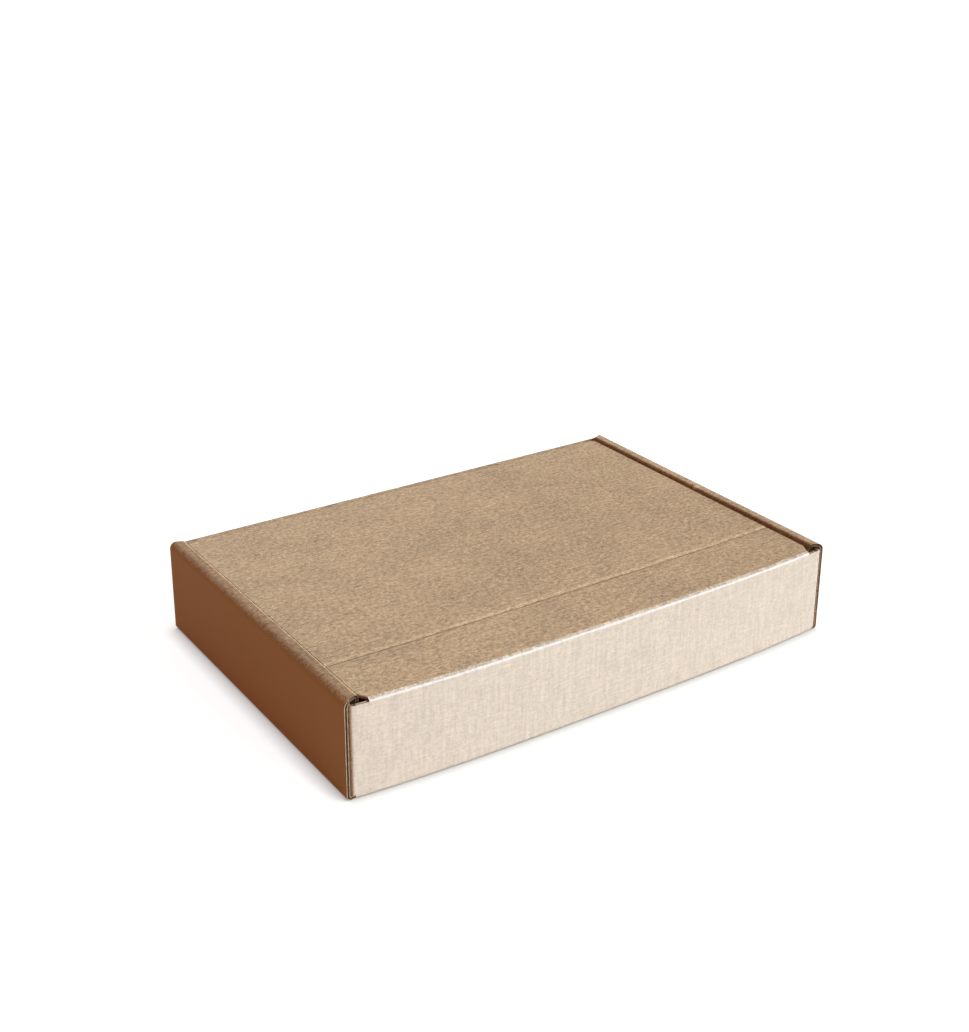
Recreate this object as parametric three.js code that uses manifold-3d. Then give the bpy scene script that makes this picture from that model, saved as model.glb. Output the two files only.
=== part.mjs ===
// A plain postal box: a corrugated mailer that is die-cut and folded from one sheet of board.
// The sheet is modelled as two solids, parted only along the crease that the lid turns on:
// the tray (bottom, hinge wall, front wall, corner flaps and two rolled side walls) and the
// lid (panel and tuck flap). Millimetres, +Z up. The origin is on the resting plane under the
// middle of the box, +X runs along the long side and the hinge wall faces -Y.

import * as THREE from 'three';
import { mergeVertices } from 'three/addons/utils/BufferGeometryUtils.js';
import Module from 'manifold-3d';

const wasm = await Module();
wasm.setup();

// Board
const boardThickness = 1.7;
const linerThickness = 0.3;
const rawEdgeDepth = 0.7;
const foldInnerRadius = 0.4;
const foldOuterRadius = foldInnerRadius + boardThickness;
const foldFacets = 6;

// How far a cutter reaches past the face that it cuts
const overcut = 1;

// Overall size
const boxLength = 305;
const boxDepth = 202.4;
const sideHeight = 53.6;

// Rolled side walls, which stop a little behind the faces of the hinge wall and the front wall
const rollWidth = 8.7;
const rollShoulderRadius = 4;
const sideEdgeSetback = 0.9;
const rollEndSlant = 2.1;
const innerWallLift = 0.3;
const lockTabLength = 30;
const lockTabSpacing = 104;
const lockTabLift = 0.2;
const lockSlotClearance = 0.35;

// Corner flaps, folded in from the hinge wall and the front wall and held inside the rolls
const cornerFlapGap = 0.5;
const hingeFlapReach = 104;
const flapMeetingGap = 3;
const cornerNotch = 0.3;

// Hinge wall and front wall. Both end in a lower raw edge beside the rolls.
const lidDrop = 1.8;
const frontWallDrop = 0.3;
const wallEndInset = 12.3;
const wallEndDrop = 1.6;
const wallBow = 4.4;
const wallBowPower = 3;
const wallBowReach = 62;
const bowSteps = 18;
const hingeCutHalfAngle = 5;

// Lid
const lidSideGap = 0.8;
const hingeReliefDepth = 7;
const hingeReliefShoulder = 1.6;
const scoreDistance = 36;
const scoreWidth = 1.4;
const scoreDepth = 0.35;
const tuckFlapDepth = 42;
const tuckFlapGap = 0.4;
const tuckSwingClearance = 0.4;
const tuckEndInset = 3;
const tuckTaper = 8;
const tuckCornerRadius = 9;

// Places worked out from the sizes above
const halfLength = boxLength / 2;
const halfDepth = boxDepth / 2;
const lidTop = sideHeight - lidDrop;
const frontWallTop = lidTop - frontWallDrop;
const wallEndTop = lidTop - wallEndDrop;
const wallHalfLength = halfLength - boardThickness - cornerFlapGap - foldOuterRadius;
const hingeHalfLength = halfLength - wallEndInset;
const sideEdge = halfDepth - sideEdgeSetback;
const lidHalfLength = halfLength - rollWidth - lidSideGap;
const tuckOuterFace = halfDepth - boardThickness - tuckFlapGap;
const frontFlapReach = boxDepth - hingeFlapReach - flapMeetingGap;

// The lid turns about the outermost point of the hinge crease, level with its own top face.
const hingeAxisY = -halfDepth - wallBow;
// The tuck flap leans in by the angle that lets its lower edge swing past the front wall's top.
const swingRadius = halfDepth - boardThickness - hingeAxisY;
const tuckLean = Math.atan((tuckFlapDepth / 2) / swingRadius + tuckSwingClearance / tuckFlapDepth);

const toRadians = THREE.MathUtils.degToRad;
const quarterTurn = 90;

// A strip of board seen end on, as a closed outline. It starts on the outside face and goes
// the way of heading, in degrees. inward is 1 where the board lies to the left of the way
// and -1 where it lies to the right, and every fold turns to that same side.
function foldedStrip(startX, startY, heading, inward, steps, outset = 0, thickness = boardThickness) {
  const outside = [];
  const inside = [];
  const at = new THREE.Vector2(startX, startY);
  let turn = toRadians(heading);
  const ahead = () => new THREE.Vector2(Math.cos(turn), Math.sin(turn));
  const across = () => new THREE.Vector2(-Math.sin(turn) * inward, Math.cos(turn) * inward);
  const mark = (depth = 0) => {
    outside.push(at.clone().addScaledVector(across(), outset + depth));
    inside.push(at.clone().addScaledVector(across(), outset + thickness));
  };
  mark();
  for (const step of steps) {
    if (step.run !== undefined) {
      at.addScaledVector(ahead(), step.run);
      mark();
    } else if (step.score !== undefined) {
      for (const depth of [step.score, 0]) {
        at.addScaledVector(ahead(), scoreWidth / 2);
        mark(depth);
      }
    } else {
      const radius = step.radius ?? foldOuterRadius;
      const centre = at.clone().addScaledVector(across(), radius);
      const facets = Math.ceil(foldFacets * step.fold / quarterTurn);
      for (let facet = 0; facet < facets; facet += 1) {
        turn += toRadians(step.fold) * inward / facets;
        at.copy(centre).addScaledVector(across(), -radius);
        mark();
      }
    }
  }
  return new THREE.Shape([...outside, ...inside.reverse()]);
}

// Axes of the three ways to extrude a section: its own x, its own y and the way it is pulled.
const pulls = {
  x: [new THREE.Vector3(0, 1, 0), new THREE.Vector3(0, 0, 1), new THREE.Vector3(1, 0, 0)],
  y: [new THREE.Vector3(1, 0, 0), new THREE.Vector3(0, 0, 1), new THREE.Vector3(0, -1, 0)],
  z: [new THREE.Vector3(1, 0, 0), new THREE.Vector3(0, 1, 0), new THREE.Vector3(0, 0, 1)],
};

function pulled(shape, way, from, to, steps = 1) {
  const geometry = new THREE.ExtrudeGeometry(shape, { depth: to - from, steps, bevelEnabled: false });
  geometry.applyMatrix4(new THREE.Matrix4().makeBasis(...pulls[way]));
  const start = new THREE.Vector3(way === 'x' ? from : 0, way === 'y' ? to : 0, way === 'z' ? from : 0);
  return geometry.translate(start.x, start.y, start.z);
}

function block(low, high) {
  const size = high.map((value, axis) => value - low[axis]);
  const middle = high.map((value, axis) => (value + low[axis]) / 2);
  return new THREE.BoxGeometry(...size).translate(...middle);
}

// The hinge wall bows out between its ends, and the bow dies away over the bottom and the lid.
function bowed(geometry) {
  const position = geometry.getAttribute('position');
  for (let index = 0; index < position.count; index += 1) {
    const along = Math.min(1, Math.abs(position.getX(index)) / wallHalfLength);
    const y = position.getY(index);
    const share = Math.max(0, 1 - Math.max(0, y + halfDepth) / wallBowReach);
    position.setY(index, y - wallBow * share * (1 - along ** wallBowPower));
  }
  return geometry;
}

function solid(geometry) {
  const bare = geometry.clone();
  bare.deleteAttribute('normal');
  bare.deleteAttribute('uv');
  const merged = mergeVertices(bare, 1e-4);
  return new wasm.Manifold(new wasm.Mesh({
    numProp: 3,
    vertProperties: new Float32Array(merged.getAttribute('position').array),
    triVerts: new Uint32Array(merged.index.array),
  }));
}

function joined(solids) {
  return solids.reduce((whole, next) => whole.add(next));
}

function cut(whole, cutters) {
  return cutters.reduce((rest, cutter) => rest.subtract(cutter), whole);
}

function toMesh(name, whole, material) {
  const { vertProperties, triVerts } = whole.getMesh();
  const geometry = new THREE.BufferGeometry();
  geometry.setAttribute('position', new THREE.BufferAttribute(vertProperties, 3));
  geometry.setIndex(new THREE.BufferAttribute(triVerts, 1));
  geometry.computeVertexNormals();
  const mesh = new THREE.Mesh(geometry, material);
  mesh.name = name;
  return mesh;
}

// The strip that rolls over from the left inner wall, down the left outer wall, under the
// whole bottom and up again into the right side wall.
function sideStrip(outset, thickness) {
  const rollTop = rollWidth - foldOuterRadius - rollShoulderRadius;
  const outerWall = sideHeight - foldOuterRadius - rollShoulderRadius;
  const innerWallBottom = boardThickness + innerWallLift;
  const innerWall = sideHeight - foldOuterRadius - innerWallBottom;
  const fold = { fold: quarterTurn };
  const shoulder = { fold: quarterTurn, radius: rollShoulderRadius };
  const steps = [
    { run: innerWall }, fold, { run: rollTop }, shoulder, { run: outerWall }, fold,
    { run: boxLength - 2 * foldOuterRadius },
    fold, { run: outerWall }, shoulder, { run: rollTop }, fold, { run: innerWall },
  ];
  return foldedStrip(rollWidth - halfLength, innerWallBottom, 90, 1, steps, outset, thickness);
}

// Outline, seen from above, of what is cut from the end of a roll so that it clears the wall
// that crosses in front of it: a slant over the roll's top and a square end on its inner wall.
// With a depth it reaches that much further in.
function rollEndOutline(sideX, sideY, depth = 0) {
  const slantStart = boardThickness + cornerFlapGap;
  const slantEnd = rollWidth - boardThickness - cornerFlapGap;
  const points = [
    [slantStart, -overcut],
    [slantStart, depth],
    [slantEnd, rollEndSlant + depth],
    [rollWidth + overcut, rollEndSlant + depth],
    [rollWidth + overcut, -overcut],
  ];
  return new THREE.Shape(points.map(([inX, inY]) => new THREE.Vector2(
    sideX * (halfLength - inX),
    sideY * (sideEdge - inY),
  )));
}

function rolledSides() {
  const ordered = (a, b) => [Math.min(a, b), Math.max(a, b)];
  const bottomClear = boardThickness + innerWallLift / 2;
  const core = sideStrip(linerThickness, boardThickness - 2 * linerThickness);
  const coreGroove = (sideY, depth) => (
    solid(pulled(core, 'y', ...ordered(sideY * sideEdge, sideY * (sideEdge - depth))))
  );
  const rollEnd = (outline) => solid(pulled(outline, 'z', bottomClear, sideHeight + overcut));
  let sides = solid(pulled(sideStrip(0, boardThickness), 'y', -sideEdge, sideEdge));
  for (const sideY of [-1, 1]) {
    const deepGroove = coreGroove(sideY, rollEndSlant + rawEdgeDepth);
    for (const sideX of [-1, 1]) {
      const grooveEnd = rollEnd(rollEndOutline(sideX, sideY, rawEdgeDepth));
      sides = sides.subtract(rollEnd(rollEndOutline(sideX, sideY)));
      sides = sides.subtract(deepGroove.intersect(grooveEnd));
    }
    sides = sides.subtract(coreGroove(sideY, rawEdgeDepth));
    // The bottom stops here, where the hinge wall's and the front wall's own folds begin.
    const lipEnd = wallHalfLength + cornerNotch;
    const [foldLow, foldHigh] = ordered(sideY * (halfDepth + overcut), sideY * (halfDepth - foldOuterRadius));
    sides = sides.subtract(solid(block([-lipEnd, foldLow, -overcut], [lipEnd, foldHigh, bottomClear])));
  }
  return sides;
}

// Hinge wall, bottom and front wall as one strip. Between the reliefs the hinge wall ends in
// the first half of the hinge fold, and outside them in a raw edge.
function wallStrip(withHinge) {
  const fold = { fold: quarterTurn };
  const rest = [fold, { run: boxDepth - 2 * foldOuterRadius }, fold, { run: frontWallTop - foldOuterRadius }];
  if (!withHinge) {
    const steps = [{ run: wallEndTop - foldOuterRadius }, ...rest];
    return foldedStrip(-halfDepth, wallEndTop, 270, 1, steps);
  }
  const halfFold = quarterTurn / 2 - hingeCutHalfAngle;
  const startY = foldOuterRadius * (1 - Math.cos(toRadians(halfFold))) - halfDepth;
  const startZ = lidTop - foldOuterRadius * (1 - Math.sin(toRadians(halfFold)));
  const steps = [{ fold: halfFold }, { run: lidTop - 2 * foldOuterRadius }, ...rest];
  return foldedStrip(startY, startZ, 270 - halfFold, 1, steps);
}

function endWalls() {
  const middle = solid(bowed(pulled(wallStrip(true), 'x', -hingeHalfLength, hingeHalfLength, bowSteps)));
  const ends = [[-wallHalfLength, -hingeHalfLength], [hingeHalfLength, wallHalfLength]].map(
    ([from, to]) => solid(bowed(pulled(wallStrip(false), 'x', from, to))),
  );
  const groove = (yLow, top, from, to, steps) => solid(bowed(pulled(new THREE.Shape([
    new THREE.Vector2(yLow + linerThickness, top - rawEdgeDepth),
    new THREE.Vector2(yLow + boardThickness - linerThickness, top - rawEdgeDepth),
    new THREE.Vector2(yLow + boardThickness - linerThickness, top + overcut),
    new THREE.Vector2(yLow + linerThickness, top + overcut),
  ]), 'x', from, to, steps)));
  return cut(joined([middle, ...ends]), [
    groove(halfDepth - boardThickness, frontWallTop, -wallHalfLength, wallHalfLength, 1),
    groove(-halfDepth, wallEndTop, -wallHalfLength, -hingeHalfLength, 1),
    groove(-halfDepth, wallEndTop, hingeHalfLength, wallHalfLength, 1),
  ]);
}

// A flap that turns the corner from the end of a wall and lies against the outer side wall.
function cornerFlap(sideX, sideY, reach) {
  const steps = [{ fold: quarterTurn }, { run: reach - foldOuterRadius }];
  const heading = sideX > 0 ? 0 : 180;
  const section = foldedStrip(sideX * wallHalfLength, sideY * halfDepth, heading, -sideX * sideY, steps);
  return solid(pulled(section, 'z', foldOuterRadius + cornerNotch, wallEndTop));
}

// A tab on the inner wall's lower edge, or with a clearance the slot in the bottom round it.
function lockTab(sideX, tabY, clearance, low, high) {
  const nearX = sideX * (halfLength - rollWidth - clearance);
  const farX = sideX * (halfLength - rollWidth + boardThickness + clearance);
  const halfTab = lockTabLength / 2 + clearance;
  return solid(block(
    [Math.min(nearX, farX), tabY - halfTab, low],
    [Math.max(nearX, farX), tabY + halfTab, high],
  ));
}

function makeTray() {
  const slotTop = boardThickness + innerWallLift / 2;
  const tabTop = boardThickness + innerWallLift + foldInnerRadius;
  let tray = joined([rolledSides(), endWalls()]);
  for (const sideX of [-1, 1]) {
    tray = tray.add(cornerFlap(sideX, -1, hingeFlapReach));
    tray = tray.add(cornerFlap(sideX, 1, frontFlapReach));
    for (const tabY of [-lockTabSpacing / 2, lockTabSpacing / 2]) {
      tray = tray.subtract(lockTab(sideX, tabY, lockSlotClearance, -overcut, slotTop));
      tray = tray.add(lockTab(sideX, tabY, 0, lockTabLift, tabTop));
    }
  }
  return tray;
}

// The lid's section, from the second half of the hinge fold over the scored panel and round
// the front fold into the leaning tuck flap.
function lidStrip() {
  const cutAngle = quarterTurn / 2 + hingeCutHalfAngle;
  const startY = foldOuterRadius * (1 - Math.cos(toRadians(cutAngle))) - halfDepth;
  const startZ = lidTop - foldOuterRadius * (1 - Math.sin(toRadians(cutAngle)));
  const panelStart = -halfDepth + foldOuterRadius;
  const scoreStart = -halfDepth + scoreDistance - scoreWidth / 2;
  const scoreEnd = scoreStart + scoreWidth;
  const panelEnd = tuckOuterFace - foldOuterRadius;
  return foldedStrip(startY, startZ, quarterTurn - cutAngle, -1, [
    { fold: quarterTurn - cutAngle },
    { run: scoreStart - panelStart },
    { score: scoreDepth },
    { run: panelEnd - scoreEnd },
    { fold: quarterTurn + THREE.MathUtils.radToDeg(tuckLean) },
    { run: tuckFlapDepth - foldOuterRadius },
  ]);
}

// Outline of the tuck flap, seen from the front: tapered ends with rounded lower corners.
function tuckFlapOutline() {
  const top = lidTop + overcut;
  const bottom = lidTop - tuckFlapDepth - overcut;
  const topHalf = lidHalfLength - tuckEndInset;
  const bottomHalf = topHalf - tuckTaper;
  const outline = new THREE.Shape();
  outline.moveTo(-topHalf, top);
  outline.lineTo(-topHalf, lidTop - foldOuterRadius);
  outline.lineTo(-bottomHalf, bottom + tuckCornerRadius);
  outline.quadraticCurveTo(-bottomHalf, bottom, -bottomHalf + tuckCornerRadius, bottom);
  outline.lineTo(bottomHalf - tuckCornerRadius, bottom);
  outline.quadraticCurveTo(bottomHalf, bottom, bottomHalf, bottom + tuckCornerRadius);
  outline.lineTo(topHalf, lidTop - foldOuterRadius);
  outline.lineTo(topHalf, top);
  return outline;
}

function hingeRelief(sideX) {
  const points = [
    [hingeHalfLength, -boxDepth],
    [hingeHalfLength, -halfDepth + hingeReliefShoulder],
    [lidHalfLength, -halfDepth + hingeReliefDepth],
    [halfLength, -halfDepth + hingeReliefDepth],
    [halfLength, -boxDepth],
  ];
  const outline = new THREE.Shape(points.map(([x, y]) => new THREE.Vector2(sideX * x, y)));
  return solid(pulled(outline, 'z', 0, sideHeight));
}

function makeLid() {
  const strip = solid(bowed(pulled(lidStrip(), 'x', -lidHalfLength, lidHalfLength, bowSteps)));
  const foldZoneStart = tuckOuterFace - foldOuterRadius;
  const leanRoom = tuckFlapDepth * Math.tan(tuckLean) + boardThickness;
  const flap = pulled(tuckFlapOutline(), 'y', foldZoneStart - leanRoom - overcut, halfDepth);
  const foldZone = block([-halfLength, foldZoneStart, 0], [halfLength, halfDepth, sideHeight]);
  const leanZoneTop = lidTop - 2 * boardThickness;
  const leanZone = block([-halfLength, foldZoneStart - leanRoom, 0], [halfLength, halfDepth, leanZoneTop]);
  const flapEnds = joined([solid(foldZone), solid(leanZone)]).subtract(solid(flap));
  return cut(strip, [flapEnds, hingeRelief(-1), hingeRelief(1)]);
}

const trayBoard = new THREE.MeshStandardMaterial({ color: 0xc9a781, roughness: 0.85, metalness: 0 });
const lidBoard = new THREE.MeshStandardMaterial({ color: 0xbfa080, roughness: 0.85, metalness: 0 });

const postalBox = new THREE.Group();
postalBox.add(toMesh('tray', makeTray(), trayBoard));
postalBox.add(toMesh('lid', makeLid(), lidBoard));

export default postalBox;
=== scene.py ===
import math
import bpy
import numpy as np
from mathutils import Matrix, Vector


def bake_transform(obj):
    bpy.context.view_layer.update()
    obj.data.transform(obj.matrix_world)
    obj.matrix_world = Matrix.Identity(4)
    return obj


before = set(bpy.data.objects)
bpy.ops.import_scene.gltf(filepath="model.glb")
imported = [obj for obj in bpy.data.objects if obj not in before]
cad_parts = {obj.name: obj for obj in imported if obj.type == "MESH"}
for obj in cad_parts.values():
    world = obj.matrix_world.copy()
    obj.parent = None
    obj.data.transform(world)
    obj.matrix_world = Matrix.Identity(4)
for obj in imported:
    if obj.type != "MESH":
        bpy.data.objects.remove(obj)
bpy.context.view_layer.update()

# The photograph's camera, fitted to the box's straight edges: metres, degrees and millimetres.
CAMERA_PLACE = (-0.4331, -0.6308, 0.4175)
CAMERA_AZIMUTH = -33.918
CAMERA_ELEVATION = 20.541
CAMERA_ROLL = 0.273
CAMERA_LENS = 52.762
CAMERA_SENSOR = 36.0
CAMERA_SHIFT_Y = -0.0998
CAMERA_REACH = 60.0

# Sizes that the frame was built to, in metres.
HALF_LENGTH = 0.1525
HALF_DEPTH = 0.1012
SIDE_EDGE = 0.1003
ROLL_WIDTH = 0.0087
ROLL_INNER = HALF_LENGTH - ROLL_WIDTH
ROLL_END_REACH = 0.0035
SIDE_HEIGHT = 0.0536
LID_TOP = 0.0518
LID_HALF_LENGTH = 0.143
FRONT_WALL_TOP = 0.0515
WALL_END_TOP = 0.0502
BOARD = 0.0017
LINER = 0.0003
RAW_EDGE_DEPTH = 0.0007
FOLD_OUTER = 0.0021
FOLD_INNER = 0.0004
HINGE_HALF_LENGTH = 0.1402
WALL_HALF_LENGTH = 0.1482
WALL_BOW = 0.0044
WALL_BOW_POWER = 3
WALL_BOW_REACH = 0.062
SCORE_DISTANCE = 0.036
FLUTE_PITCH = 0.0033

# The crease piece closes the cut in the hinge fold and stands a little proud of the board. Edges
# sharper than CREASE_SHARP_ANGLE, in degrees, stay sharp.
CREASE_PROUD = 0.00006
CREASE_OVERLAP = 0.0016
CREASE_STATIONS = 121
CREASE_ARC_STEPS = 14
CREASE_SHARP_ANGLE = 40

# The board's linear colour, and the painted light and shade laid on it as colours and tints.
KRAFT = (0.450, 0.306, 0.184, 1.0)
# Painted shade: the dark of the hollows between the flutes at the cut edges.
HOLLOW_SHADE = (0.08, 0.045, 0.022, 1.0)
# Painted light: the hinge wall paler and bluer, as if lit more brightly.
WALL_LIGHT_TINT = (1.33, 1.49, 1.86, 1.0)
# Painted shade: the left side browner and darker.
SIDE_SHADE_TINT = (0.84, 0.60, 0.34, 1.0)
# Painted shade: the rolls' tops darker.
ROLL_SHADE_TINT = (0.84, 0.80, 0.77, 1.0)
# Painted highlight: a pale line along the left roll's inner crest.
CREST_HIGHLIGHT_TINT = (1.75, 1.72, 1.65, 1.0)
# Painted shade: the right roll's inner face darker at the lid's height.
TURN_SHADE_TINT = (0.52, 0.52, 0.52, 1.0)
# Painted highlight: the hinge fold paler and bluer.
CREASE_HIGHLIGHT_TINT = (1.30, 1.46, 1.72, 1.0)
# Painted highlight: the lid's top paler along its cut edges.
LID_EDGE_HIGHLIGHT_TINT = (1.22, 1.22, 1.22, 1.0)
# Painted highlight: the top liner of the lid's cut ends paler and bluer.
LID_END_HIGHLIGHT_TINT = (1.8, 2.0, 2.3, 1.0)
# Painted shade along the score, and a painted highlight beside it.
SCORE_SHADE = (0.46, 0.40, 0.35, 1.0)
SCORE_HIGHLIGHT = (1.30, 1.30, 1.30, 1.0)
# Painted highlight and painted shade of the small crumple in the right roll's corner.
NICK_HIGHLIGHT = (1.75, 1.80, 1.85, 1.0)
NICK_SHADE = (0.45, 0.40, 0.36, 1.0)

# The paper's marks: how many lie in a metre, how many finer layers are on them, and how strong
# those layers are. A smaller share along x, y or z draws them out along it.
CLOUDS = (24.0, 4.0, 0.6)
BLOTCHES = (520.0, 5.0, 0.80)
GRAIN = (1150.0, 3.0, 0.6)
FLECKS = (640.0, 2.0, 0.5)
FIBRES = (1300.0, 2.0, 0.6)
UPRIGHTS = (620.0, 2.0, 0.55)
MARK_DRAW = (0.78, 1.0, 1.0)
FIBRE_DRAW = (0.10, 1.0, 1.0)
UPRIGHT_DRAW = (1.0, 1.0, 0.12)

# How strong the marks are, and how much less they are on the faces named. A mark of the middle
# value leaves the colour as it is.
MIDDLE = 0.5
CLOUD_SHARE = 0.16
GRAIN_SHARE = 0.55
MOTTLE_STRENGTH = 3.1
MOTTLE_LESS = {"wall": 2.6, "side": 2.1, "left_side": 0.8}
FINE_STRENGTH = 2.1
FINE_LESS = {"wall": 1.35, "side": 1.2, "left_side": 0.75}
UPRIGHT_STRENGTH = 0.35
FLECK_STRENGTH = 0.18
FLECK_START = 0.68
FLECK_FULL = 0.80

# The surface: how rough and how uneven the paper is. Heights are shares of BUMP_DISTANCE.
ROUGHNESS = 0.62
ROUGHNESS_SPREAD = 0.30
SPECULAR = 0.10
WASHBOARD_HEIGHT = 0.10
BLOTCH_HEIGHT = 0.7
FINE_HEIGHT = 0.55
BUMP_STRENGTH = 0.35
BUMP_DISTANCE = 0.00012

# On a roll the height falls by ROLL_TILT for each metre past the inner edge. Up to CREST_REACH it
# also falls by CREST_TURN times the square of what is left, which turns the inner crest down.
ROLL_TILT = 5600.0
CREST_TURN = 6.8e6
CREST_REACH = 0.0022
# Where the painted crest highlight lies inside the roll's inner edge, and how far it reaches.
CREST_INSET = 0.0007
CREST_WIDTH = 0.0008

# How much of a face's direction lies along an axis: where a mask begins, and where it is full.
# For CREASE_BEND it is the product of two such shares.
SQUARE_TO = (0.8, 0.95)
MOSTLY_TO = (0.55, 0.95)
ROLL_END_TO = (0.5, 0.8)
ROLL_TOP_TO = (0.3, 0.6)
TURN_TO = (-0.3, -0.9)
CREASE_BEND = (0.02, 0.40)

# The painted flutes: the wave is full within this share of a liner's thickness from its middle, and
# the soft edge of the two liners takes this share of it.
WAVE_FULL_SHARE = 0.5
LINER_EDGE_SHARE = 0.3

# Places and sizes of the smaller marks on the board, in metres. NICK_SLANT is a slope.
SKIN = 0.0009
LID_EDGE_WIDTH = 0.0006
LID_LINER_FADE = 0.00075
# Where the score's painted shade and painted highlight lie, and how far they reach.
SCORE_DARK_PLACE = -0.00007
SCORE_DARK_REACH = 0.00084
SCORE_PALE_PLACE = 0.00196
SCORE_PALE_REACH = 0.0021
CORE_FLOOR_REACH = 0.0002
WALL_ZONE = 0.003
NICK_PLACE = (0.1452, -0.0012)
NICK_SIZE = (0.0034, 0.0034)
NICK_CREASE_REACH = 0.00085
NICK_SLANT = 0.8

# Each lamp: the way towards it, its colour and its level, where level 1 shows a colour as written.
# LAMP_SPREAD is how wide each of them looks, in degrees.
LAMPS = {
    "key": ((0.52, -0.78, 0.34), (0.78, 0.93, 1.08), 1.88),
    "top": ((0.35, 0.25, 0.90), (1.0, 0.90, 0.78), 0.16),
    "side": ((-0.93, -0.10, 0.34), (1.0, 0.36, 0.08), 0.23),
    "back": ((0.12, 0.88, 0.46), (1.0, 0.95, 0.88), 0.45),
}
LAMP_SPREAD = 50
WORLD_COLOUR = (0.9, 0.95, 1.0, 1.0)
WORLD_LEVEL = 0.03
WHITE = (1.0, 1.0, 1.0, 1.0)

# The floor's own colour, and the glow that makes it white to the camera. Close to the box the
# glow is dimmed by ambient occlusion, a painted contact shadow.
FLOOR_SIZE = 30.0
FLOOR_COLOUR = (0.40, 0.36, 0.30, 1.0)
FLOOR_ROUGHNESS = 0.9
FLOOR_GLOW_COLOUR = (0.96, 0.98, 1.0, 1.0)
FLOOR_GLOW = 0.90
CONTACT_REACH = 0.010
CONTACT_SAMPLES = 4

# A mix node's places for its factor, its two colours and the colour that comes out.
MIX_FACTOR = 0
MIX_FIRST = 6
MIX_SECOND = 7
MIX_RESULT = 2


def bow(x, y):
    """How far the hinge wall's outward bow moves a point of the flat board: it dies away over the
    bottom and the lid with the distance from the wall, and towards the ends as 1 - |u| cubed."""
    along = np.minimum(1.0, np.abs(x) / WALL_HALF_LENGTH)
    share = np.maximum(0.0, 1.0 - np.maximum(0.0, y + HALF_DEPTH) / WALL_BOW_REACH)
    return -WALL_BOW * share * (1.0 - along**WALL_BOW_POWER)


def crease_section():
    """The closed section of the hinge fold, seen along X: out along the outer face, round the outer
    arc, along the lid's top, and back the same way on the inner side. With it, the way each of its
    points faces."""
    centre = np.array([FOLD_OUTER - HALF_DEPTH, LID_TOP - FOLD_OUTER])
    turn = np.linspace(0.0, math.pi / 2, CREASE_ARC_STEPS)
    ways = np.stack([-np.cos(turn), np.sin(turn)], axis=1)

    def side(radius):
        arc = centre + radius * ways
        start = arc[:1] + np.array([[0.0, -CREASE_OVERLAP]])
        end = arc[-1:] + np.array([[CREASE_OVERLAP, 0.0]])
        return np.concatenate([start, arc, end])

    outer = side(FOLD_OUTER + CREASE_PROUD)
    inner = side(FOLD_INNER - CREASE_PROUD)
    facing = np.concatenate([ways[:1], ways, ways[-1:]])
    return np.concatenate([outer, inner[::-1]]), np.concatenate([facing, -facing[::-1]])


def keep_rest(mesh, name, values):
    """Keeps a vector at each point from before the piece bends, so that its paint bends with it."""
    attribute = mesh.attributes.new(name, "FLOAT_VECTOR", "POINT")
    attribute.data.foreach_set("vector", values.reshape(-1).astype(np.float32))


def add_crease():
    """The hinge fold's own piece: the section carried along x and moved out by the wall's bow, as a
    grid over x and round the section, closed by a flat face at each end."""
    section, facing = crease_section()
    count = len(section)
    x = np.linspace(-HINGE_HALF_LENGTH, HINGE_HALF_LENGTH, CREASE_STATIONS)
    grid = np.empty((CREASE_STATIONS, count, 3))
    grid[:, :, 0] = x[:, None]
    grid[:, :, 1] = section[None, :, 0] + bow(x[:, None], section[None, :, 0])
    grid[:, :, 2] = section[None, :, 1]
    index = np.arange(CREASE_STATIONS * count).reshape(CREASE_STATIONS, count)
    around = np.roll(index, -1, axis=1)
    quads = np.stack([index[:-1], index[1:], around[1:], around[:-1]], axis=-1).reshape(-1, 4)
    faces = quads.tolist() + [index[0].tolist(), index[-1][::-1].tolist()]
    mesh = bpy.data.meshes.new("hinge_crease")
    mesh.from_pydata(grid.reshape(-1, 3).tolist(), [], faces)
    mesh.validate()
    mesh.polygons.foreach_set("use_smooth", np.ones(len(mesh.polygons), dtype=bool))
    mesh.set_sharp_from_angle(angle=math.radians(CREASE_SHARP_ANGLE))
    ways = np.zeros_like(grid)
    ways[:, :, 1:] = facing[None, :, :]
    keep_rest(mesh, "rest_place", grid)
    keep_rest(mesh, "rest_facing", ways)
    crease = bpy.data.objects.new("hinge_crease", mesh)
    bpy.context.scene.collection.objects.link(crease)
    crease.data.materials.append(board_material("kraft_crease", is_lid=True, bends=True))
    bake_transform(crease)


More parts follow.
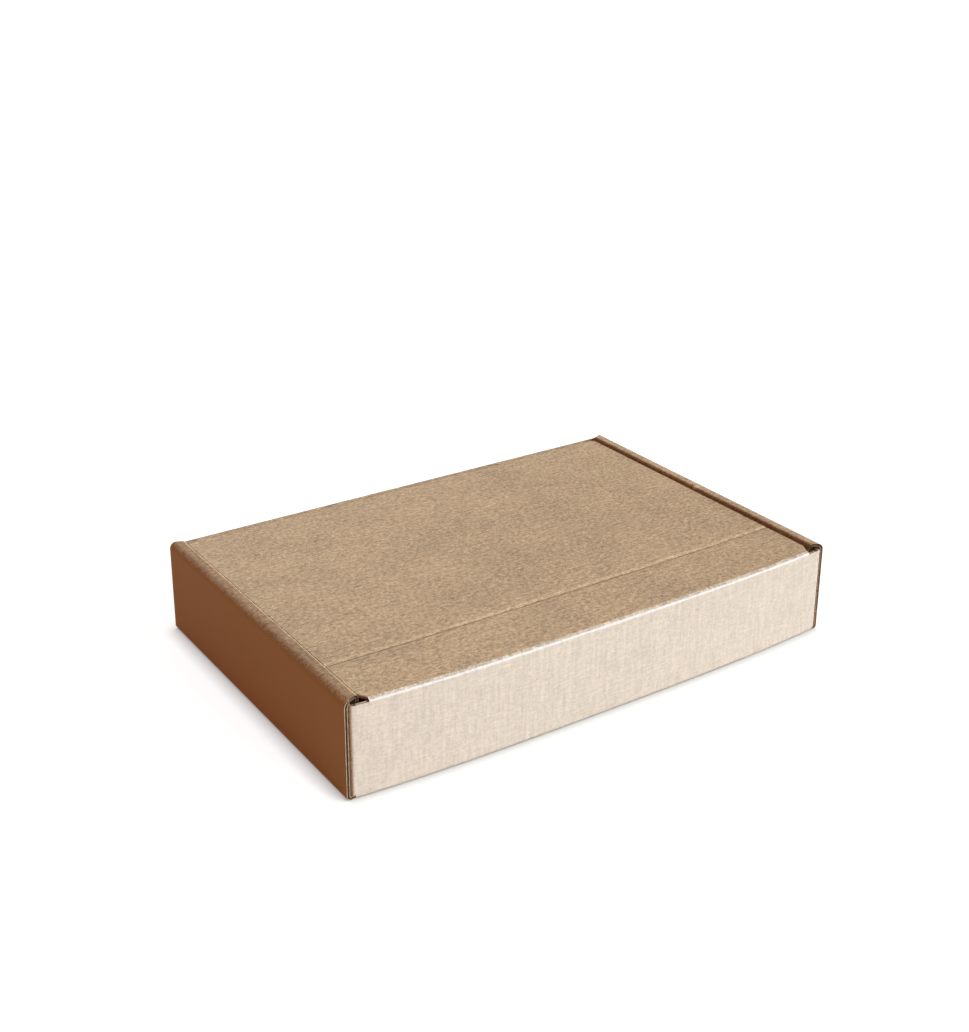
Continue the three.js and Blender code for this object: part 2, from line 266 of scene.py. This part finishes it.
class Paint:
    """Short ways to add nodes to one node tree."""

    def __init__(self, tree):
        self.tree = tree

    def add(self, kind, inputs=(), **settings):
        node = self.tree.nodes.new(kind)
        for name, value in settings.items():
            setattr(node, name, value)
        for name, value in dict(inputs).items():
            self.feed(node.inputs[name], value)
        return node

    def feed(self, socket, value):
        if isinstance(value, bpy.types.NodeSocket):
            self.tree.links.new(value, socket)
        else:
            socket.default_value = value

    def math(self, operation, *values, clamp=False):
        node = self.add("ShaderNodeMath", operation=operation, use_clamp=clamp)
        for socket, value in zip(node.inputs, values):
            self.feed(socket, value)
        return node.outputs[0]

    def size(self, value):
        return self.math("ABSOLUTE", value)

    def minus(self, value, other):
        return self.math("SUBTRACT", value, other)

    def times(self, first, *others):
        """The product of the values. Of masks, it is 1 only where each of them is."""
        for other in others:
            first = self.math("MULTIPLY", first, other)
        return first

    def over(self, value, limit):
        return self.math("GREATER_THAN", value, limit)

    def under(self, value, limit):
        return self.math("LESS_THAN", value, limit)

    def total(self, start, *terms):
        """The start plus the sum of the terms, each a value and its weight."""
        for value, weight in terms:
            start = self.math("MULTIPLY_ADD", value, weight, start)
        return start

    def scaled(self, vector, factors):
        node = self.add("ShaderNodeVectorMath", operation="MULTIPLY")
        self.feed(node.inputs[0], vector)
        self.feed(node.inputs[1], factors)
        return node.outputs[0]

    def parts(self, vector):
        return self.add("ShaderNodeSeparateXYZ", {"Vector": vector}).outputs

    def noise(self, vector, marks):
        scale, detail, roughness = marks
        inputs = {"Vector": vector, "Scale": scale, "Detail": detail, "Roughness": roughness}
        return self.add("ShaderNodeTexNoise", inputs).outputs["Fac"]

    def smooth(self, value, low, high, to_low=0.0, to_high=1.0):
        inputs = {"Value": value, "From Min": low, "From Max": high, "To Min": to_low, "To Max": to_high}
        return self.add("ShaderNodeMapRange", inputs, interpolation_type="SMOOTHSTEP").outputs["Result"]

    def near(self, value, place, reach):
        """1 where the value is at the place, falling to 0 at the reach on both sides."""
        return self.smooth(self.size(self.minus(value, place)), reach, 0.0)

    def square_to(self, facing):
        """1 on faces that look straight along the axis whose part of the normal is given."""
        return self.smooth(facing, *SQUARE_TO)

    def mostly_to(self, facing):
        """The same, with a softer edge that takes in more of a bend."""
        return self.smooth(facing, *MOSTLY_TO)

    def mix(self, kind, factor, first, second):
        node = self.add("ShaderNodeMix", data_type="RGBA", blend_type=kind)
        self.feed(node.inputs[MIX_FACTOR], factor)
        self.feed(node.inputs[MIX_FIRST], first)
        self.feed(node.inputs[MIX_SECOND], second)
        return node.outputs[MIX_RESULT]

    def tint(self, mask, colour, tint):
        return self.mix("MULTIPLY", mask, colour, tint)


def new_group(name, inputs, outputs):
    """A node group with the named inputs and outputs and nothing between them yet."""
    group = bpy.data.node_groups.new(name, "ShaderNodeTree")
    for socket, kind in inputs.items():
        group.interface.new_socket(name=socket, in_out="INPUT", socket_type=kind)
    for socket, kind in outputs.items():
        group.interface.new_socket(name=socket, in_out="OUTPUT", socket_type=kind)
    start = group.nodes.new("NodeGroupInput")
    end = group.nodes.new("NodeGroupOutput")
    return Paint(group), start.outputs, end.inputs


def use_group(paint, name, inputs):
    """Adds a node group to the tree, and gives what it puts out."""
    node = paint.add("ShaderNodeGroup", node_tree=bpy.data.node_groups[name])
    for socket, value in inputs.items():
        paint.feed(node.inputs[socket], value)
    return node.outputs


def outer_face(paint, place, facing, reach):
    """1 on the faces that look away from the box's middle and lie farther out than the reach."""
    outwards = paint.times(facing, paint.math("SIGN", place))
    return paint.times(paint.mostly_to(outwards), paint.over(paint.size(place), reach))


def find_faces(paint, place, facing):
    """Masks of the outside faces: both long walls, the hinge wall, both sides and the left side.
    The one named end is 1 on every face that looks along y."""
    on_wall = outer_face(paint, place[1], facing[1], HALF_DEPTH - SKIN)
    on_side = outer_face(paint, place[0], facing[0], HALF_LENGTH - SKIN)
    return {
        "wall": on_wall,
        "hinge_wall": paint.times(on_wall, paint.under(place[1], 0.0)),
        "side": on_side,
        "left_side": paint.times(on_side, paint.under(place[0], 0.0)),
        "end": paint.mostly_to(paint.size(facing[1])),
    }


def quieten(paint, strength, less, faces):
    """The strength of a mark, less the given amount on each of the faces named."""
    return paint.total(strength, *((faces[face], -amount) for face, amount in less.items()))


def paper_marks(paint, position):
    """The two kinds of mottle, both about the middle value: cloudy blotches, and fine grain with
    fibres. The blotches are given by themselves as well."""
    drawn = paint.scaled(position, MARK_DRAW)
    clouds = paint.noise(position, CLOUDS)
    blotches = paint.noise(drawn, BLOTCHES)
    grain = paint.noise(drawn, GRAIN)
    fibres = paint.noise(paint.scaled(position, FIBRE_DRAW), FIBRES)
    mottle = paint.total(0.0, (clouds, CLOUD_SHARE), (blotches, 1.0 - CLOUD_SHARE))
    fine = paint.total(0.0, (grain, GRAIN_SHARE), (fibres, 1.0 - GRAIN_SHARE))
    return mottle, fine, blotches


def paper_shade(paint, position, mottle, fine, faces):
    """A grey factor on the paper's colour: 1, moved by the mottle, by upright streaks on the long
    walls and by dark flecks."""
    upright = paint.noise(paint.scaled(position, UPRIGHT_DRAW), UPRIGHTS)
    flecks = paint.noise(paint.scaled(position, MARK_DRAW), FLECKS)
    shade = paint.total(
        1.0,
        (paint.minus(mottle, MIDDLE), quieten(paint, MOTTLE_STRENGTH, MOTTLE_LESS, faces)),
        (paint.minus(fine, MIDDLE), quieten(paint, FINE_STRENGTH, FINE_LESS, faces)),
        (paint.minus(upright, MIDDLE), paint.times(faces["wall"], UPRIGHT_STRENGTH)),
        (paint.smooth(flecks, FLECK_START, FLECK_FULL), -FLECK_STRENGTH),
    )
    return paint.add("ShaderNodeCombineColor", {"Red": shade, "Green": shade, "Blue": shade}).outputs[0]


def tint_liner(paint, colour, place, facing, faces, past_inner):
    """Painted light on the hinge wall, painted shade on the left side and on the rolls' tops, a painted
    highlight along the left roll's inner crest, and painted shade on the right roll's inner face."""
    x, z = place[0], place[2]
    # Painted light on the hinge wall, and painted shade on the left side.
    colour = paint.tint(faces["hinge_wall"], colour, WALL_LIGHT_TINT)
    colour = paint.tint(faces["left_side"], colour, SIDE_SHADE_TINT)
    upwards = paint.smooth(paint.size(facing[2]), *ROLL_TOP_TO)
    roll_top = paint.times(paint.over(z, LID_TOP), upwards, paint.over(past_inner, 0.0))
    # Painted shade on the rolls' tops.
    colour = paint.tint(roll_top, colour, ROLL_SHADE_TINT)
    # A painted highlight along the left roll's inner crest.
    crest = paint.times(paint.near(past_inner, CREST_INSET, CREST_WIDTH), roll_top, paint.under(x, 0.0))
    colour = paint.tint(crest, colour, CREST_HIGHLIGHT_TINT)
    # Painted shade on the right roll's inner face, at the height of the lid's board.
    leftwards = paint.smooth(facing[0], *TURN_TO)
    turned = paint.times(leftwards, paint.smooth(z, LID_TOP - BOARD, LID_TOP), paint.over(x, 0.0))
    return paint.tint(turned, colour, TURN_SHADE_TINT)


def liner_height(paint, place, faces, past_inner, blotches, fine):
    """The washboard, a sine across the flutes, with the blotches and the fine marks on it. Over a
    roll it falls off with the distance past the inner edge, and with the square of what is left to
    the crest, but not on the faces that look along y."""
    across = paint.total(place[1], (paint.minus(place[2], place[1]), faces["end"]))
    washboard = paint.math("SINE", paint.times(across, 2 * math.pi / FLUTE_PITCH))
    height = paint.total(0.0, (washboard, WASHBOARD_HEIGHT), (blotches, BLOTCH_HEIGHT), (fine, FINE_HEIGHT))
    to_crest = paint.math("SUBTRACT", CREST_REACH, past_inner, clamp=True)
    drop = paint.total(paint.times(to_crest, to_crest, CREST_TURN), (past_inner, ROLL_TILT))
    return paint.minus(height, paint.times(drop, paint.minus(1.0, faces["end"])))


def make_liner_group():
    """The kraft liner: cloudy and blotchy pulp colour, drawn out along the flutes, fine fibres, dark
    flecks, and the washboard that the flutes print through the paper."""
    paint, given, result = new_group(
        "kraft_liner",
        {"Color": "NodeSocketColor", "Position": "NodeSocketVector", "Facing": "NodeSocketVector"},
        {"Color": "NodeSocketColor", "Roughness": "NodeSocketFloat", "Height": "NodeSocketFloat"},
    )
    place = paint.parts(given["Position"])
    facing = paint.parts(given["Facing"])
    faces = find_faces(paint, place, facing)
    past_inner = paint.math("MAXIMUM", paint.minus(paint.size(place[0]), ROLL_INNER), 0.0)
    mottle, fine, blotches = paper_marks(paint, given["Position"])
    shade = paper_shade(paint, given["Position"], mottle, fine, faces)
    tinted = tint_liner(paint, given["Color"], place, facing, faces, past_inner)
    paint.feed(result["Color"], paint.tint(1.0, tinted, shade))
    paint.feed(result["Roughness"], paint.total(ROUGHNESS, (paint.minus(mottle, MIDDLE), ROUGHNESS_SPREAD)))
    paint.feed(result["Height"], liner_height(paint, place, faces, past_inner, blotches, fine))


def make_flute_group():
    """The cut end of the board across its flutes: two liners and the wave between them. Along is
    the way across the flutes and Across is measured from the board's middle."""
    paint, given, result = new_group(
        "flute_section",
        {"Along": "NodeSocketFloat", "Across": "NodeSocketFloat"},
        {"Paper": "NodeSocketFloat"},
    )
    half_core = BOARD / 2 - LINER
    phase = paint.times(given["Along"], 2 * math.pi / FLUTE_PITCH)
    wave = paint.times(paint.math("SINE", phase), half_core - LINER / 2)
    off_wave = paint.size(paint.minus(given["Across"], wave))
    medium = paint.smooth(off_wave, LINER, LINER * WAVE_FULL_SHARE)
    off_middle = paint.size(given["Across"])
    liner = paint.smooth(off_middle, half_core - LINER * LINER_EDGE_SHARE, half_core)
    paint.feed(result["Paper"], paint.math("MAXIMUM", medium, liner))


def add_score(paint, place, colour):
    """The scored line across the lid, bowed as the lid is: painted shade along it, and a painted highlight
    behind it.
    """
    along = paint.times(paint.size(place[0]), 1.0 / WALL_HALF_LENGTH)
    bow_there = WALL_BOW * (1.0 - SCORE_DISTANCE / WALL_BOW_REACH)
    bent = paint.times(paint.minus(1.0, paint.math("POWER", along, WALL_BOW_POWER)), bow_there)
    from_line = paint.math("ADD", paint.math("ADD", place[1], bent), HALF_DEPTH - SCORE_DISTANCE)
    dark = paint.near(from_line, SCORE_DARK_PLACE, SCORE_DARK_REACH)
    pale = paint.near(from_line, SCORE_PALE_PLACE, SCORE_PALE_REACH)
    # Painted shade along the score's groove, and a painted highlight behind it.
    colour = paint.tint(dark, colour, SCORE_SHADE)
    return paint.tint(paint.math("SUBTRACT", pale, dark, clamp=True), colour, SCORE_HIGHLIGHT)


def add_crease_highlight(paint, place, facing, colour):
    """A painted highlight round the hinge fold, paler and bluer, more so in the middle of the bend."""
    bend = paint.times(paint.size(facing[1]), paint.size(facing[2]))
    at_hinge = paint.under(place[1], -HALF_DEPTH + FOLD_OUTER * 2)
    outside = paint.over(facing[2], 0.0)
    highlit_bend = paint.times(paint.smooth(bend, *CREASE_BEND), at_hinge, outside)
    return paint.tint(highlit_bend, colour, CREASE_HIGHLIGHT_TINT)


def add_lid_ends(paint, place, facing, colour):
    """The lid's left and right edges cross the flutes: the core's wave with painted shade in its hollows,
    below a liner line with a painted highlight. Along both, a painted highlight makes the lid's top paler."""
    x, y, z = place
    across = paint.minus(z, LID_TOP - BOARD / 2)
    paper = use_group(paint, "flute_section", {"Along": y, "Across": across})["Paper"]
    on_end = paint.square_to(paint.size(facing[0]))
    # Painted shade in the hollows between the flutes of the lid's cut ends.
    void = paint.times(paint.minus(1.0, paper), on_end, paint.over(z, LID_TOP - BOARD))
    # A painted highlight on the top liner of the cut ends.
    top_liner = paint.times(on_end, paint.smooth(z, LID_TOP - LID_LINER_FADE, LID_TOP - LINER))
    colour = paint.mix("MIX", paint.math("SUBTRACT", void, top_liner, clamp=True), colour, HOLLOW_SHADE)
    colour = paint.tint(top_liner, colour, LID_END_HIGHLIGHT_TINT)
    # A painted highlight along the lid's top at both edges.
    near_edge = paint.near(paint.size(x), LID_HALF_LENGTH, LID_EDGE_WIDTH)
    at_edge = paint.times(near_edge, paint.square_to(facing[2]))
    return paint.tint(at_edge, colour, LID_EDGE_HIGHLIGHT_TINT)


def add_tray_core_shade(paint, place, facing, colour):
    """Painted shade on the floor of each groove between the liners at a raw edge, where the core lies:
    at the rolls' ends, and along the tops of the front wall and of the hinge wall's low ends."""
    off_middle = paint.size(place[1])
    behind_edge = paint.times(
        paint.under(off_middle, SIDE_EDGE - RAW_EDGE_DEPTH / 2),
        paint.over(off_middle, SIDE_EDGE - ROLL_END_REACH),
    )
    on_roll = paint.over(paint.size(place[0]), ROLL_INNER)
    roll_floor = paint.times(behind_edge, paint.smooth(paint.size(facing[1]), *ROLL_END_TO), on_roll)
    end_floor = paint.near(place[2], WALL_END_TOP - RAW_EDGE_DEPTH, CORE_FLOOR_REACH)
    front_floor = paint.near(place[2], FRONT_WALL_TOP - RAW_EDGE_DEPTH, CORE_FLOOR_REACH)
    wall_floor = paint.math("MAXIMUM", end_floor, front_floor)
    in_wall = paint.over(off_middle, HALF_DEPTH - WALL_ZONE)
    wall_floor = paint.times(wall_floor, paint.square_to(facing[2]), in_wall)
    return paint.mix("MIX", paint.math("MAXIMUM", roll_floor, wall_floor), colour, HOLLOW_SHADE)


def add_nick(paint, place, colour):
    """A painted highlight on the small crumple in the right roll's inner corner, where the corner flaps
    meet inside, and painted shade along a crease on its far side."""
    x, y, z = place
    in_zone = paint.times(paint.near(x, NICK_PLACE[0], NICK_SIZE[0]), paint.over(z, SIDE_HEIGHT - BOARD))
    pale = paint.times(in_zone, paint.near(y, NICK_PLACE[1], NICK_SIZE[1]))
    slant = paint.minus(y, paint.times(paint.minus(x, NICK_PLACE[0]), NICK_SLANT))
    crease = paint.times(in_zone, paint.near(slant, NICK_PLACE[1] + NICK_SIZE[1], NICK_CREASE_REACH))
    # A painted highlight on the crumple, and painted shade along its crease.
    colour = paint.tint(pale, colour, NICK_HIGHLIGHT)
    return paint.tint(crease, colour, NICK_SHADE)


def board_material(name, is_lid, bends=False):
    """Kraft board: the liner's colour with the scored line, painted light and shade, and painted shade in
    the cut edges' hollows. A piece that bends reads the places and normals that it kept from rest."""
    material = bpy.data.materials.new(name)
    material.use_nodes = True
    paint = Paint(material.node_tree)
    shader = material.node_tree.nodes["Principled BSDF"]
    if bends:
        position = paint.add("ShaderNodeAttribute", attribute_name="rest_place").outputs["Vector"]
        normal = paint.add("ShaderNodeAttribute", attribute_name="rest_facing").outputs["Vector"]
    else:
        coordinates = paint.add("ShaderNodeTexCoord").outputs
        position, normal = coordinates["Object"], coordinates["Normal"]
    place = paint.parts(position)
    facing = paint.parts(normal)
    liner = use_group(paint, "kraft_liner", {"Color": KRAFT, "Position": position, "Facing": normal})
    if is_lid:
        colour = add_score(paint, place, liner["Color"])
        colour = add_crease_highlight(paint, place, facing, colour)
        colour = add_lid_ends(paint, place, facing, colour)
    else:
        colour = add_nick(paint, place, liner["Color"])
        colour = add_tray_core_shade(paint, place, facing, colour)
    relief = {"Height": liner["Height"], "Strength": BUMP_STRENGTH, "Distance": BUMP_DISTANCE}
    paint.feed(shader.inputs["Base Color"], colour)
    paint.feed(shader.inputs["Roughness"], liner["Roughness"])
    paint.feed(shader.inputs["Normal"], paint.add("ShaderNodeBump", relief).outputs["Normal"])
    shader.inputs["Specular IOR Level"].default_value = SPECULAR
    return material


def dress_nodes():
    """The tray and the lid each get their own board material in every slot."""
    for node, is_lid in (("tray", False), ("lid", True)):
        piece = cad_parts[node]
        material = board_material("kraft_" + node, is_lid)
        if len(piece.material_slots) == 0:
            piece.data.materials.append(material)
        for slot in piece.material_slots:
            slot.material = material


def add_camera():
    """A camera at CAMERA_PLACE that looks down the given azimuth and elevation."""
    data = bpy.data.cameras.new("camera")
    data.lens = CAMERA_LENS
    data.sensor_width = CAMERA_SENSOR
    data.shift_y = CAMERA_SHIFT_Y
    data.clip_end = CAMERA_REACH
    camera = bpy.data.objects.new("camera", data)
    bpy.context.scene.collection.objects.link(camera)
    azimuth = math.radians(CAMERA_AZIMUTH)
    elevation = math.radians(CAMERA_ELEVATION)
    back = Vector((
        math.sin(azimuth) * math.cos(elevation),
        -math.cos(azimuth) * math.cos(elevation),
        math.sin(elevation),
    ))
    turn = back.to_track_quat("Z", "Y").to_matrix().to_4x4()
    roll = Matrix.Rotation(math.radians(CAMERA_ROLL), 4, "Z")
    camera.matrix_world = Matrix.Translation(CAMERA_PLACE) @ turn @ roll
    bpy.context.scene.camera = camera


def add_seen(paint):
    """1 for what the camera sees, straight, mirrored or through glass, and 0 for the light itself."""
    path = paint.add("ShaderNodeLightPath").outputs
    seen = paint.math("MAXIMUM", path["Is Camera Ray"], path["Is Transmission Ray"])
    return paint.math("MAXIMUM", seen, path["Is Glossy Ray"])


def add_floor():
    """A pale floor seen as white by the camera, with a painted contact shadow within the box's contact
    reach.
    """
    half = FLOOR_SIZE / 2
    mesh = bpy.data.meshes.new("floor")
    corners = [(-half, -half, 0), (half, -half, 0), (half, half, 0), (-half, half, 0)]
    mesh.from_pydata(corners, [], [(0, 1, 2, 3)])
    floor = bpy.data.objects.new("floor", mesh)
    bpy.context.scene.collection.objects.link(floor)
    material = bpy.data.materials.new("floor")
    material.use_nodes = True
    paint = Paint(material.node_tree)
    shader = material.node_tree.nodes["Principled BSDF"]
    shader.inputs["Base Color"].default_value = FLOOR_COLOUR
    shader.inputs["Roughness"].default_value = FLOOR_ROUGHNESS
    shader.inputs["Specular IOR Level"].default_value = 0.0
    shader.inputs["Emission Color"].default_value = FLOOR_GLOW_COLOUR
    # Ambient occlusion dims the glow near the box: a painted contact shadow.
    contact = paint.add("ShaderNodeAmbientOcclusion", {"Distance": CONTACT_REACH}, samples=CONTACT_SAMPLES)
    glow = paint.times(contact.outputs["AO"], FLOOR_GLOW)
    paint.feed(shader.inputs["Emission Strength"], paint.times(add_seen(paint), glow))
    mesh.materials.append(material)


def add_lamp(name, towards, colour, level):
    """A broad lamp far away. At level 1 a face square to it shows its colour as written."""
    sun = bpy.data.lights.new(name, "SUN")
    sun.energy = level * math.pi
    sun.color = colour
    sun.angle = math.radians(LAMP_SPREAD)
    lamp = bpy.data.objects.new(name, sun)
    bpy.context.scene.collection.objects.link(lamp)
    lamp.matrix_world = Vector(towards).to_track_quat("Z", "Y").to_matrix().to_4x4()


def add_world():
    """White to the camera, and a faint cool light on the box."""
    world = bpy.data.worlds.new("world")
    world.use_nodes = True
    paint = Paint(world.node_tree)
    background = world.node_tree.nodes["Background"]
    seen = add_seen(paint)
    paint.feed(background.inputs["Color"], paint.mix("MIX", seen, WORLD_COLOUR, WHITE))
    paint.feed(background.inputs["Strength"], paint.smooth(seen, 0.0, 1.0, WORLD_LEVEL, 1.0))
    bpy.context.scene.world = world


add_camera()
add_floor()
for name, (towards, colour, level) in LAMPS.items():
    add_lamp(name, towards, colour, level)
add_world()
make_liner_group()
make_flute_group()
dress_nodes()
add_crease()
bpy.context.scene.view_settings.view_transform = "Standard"
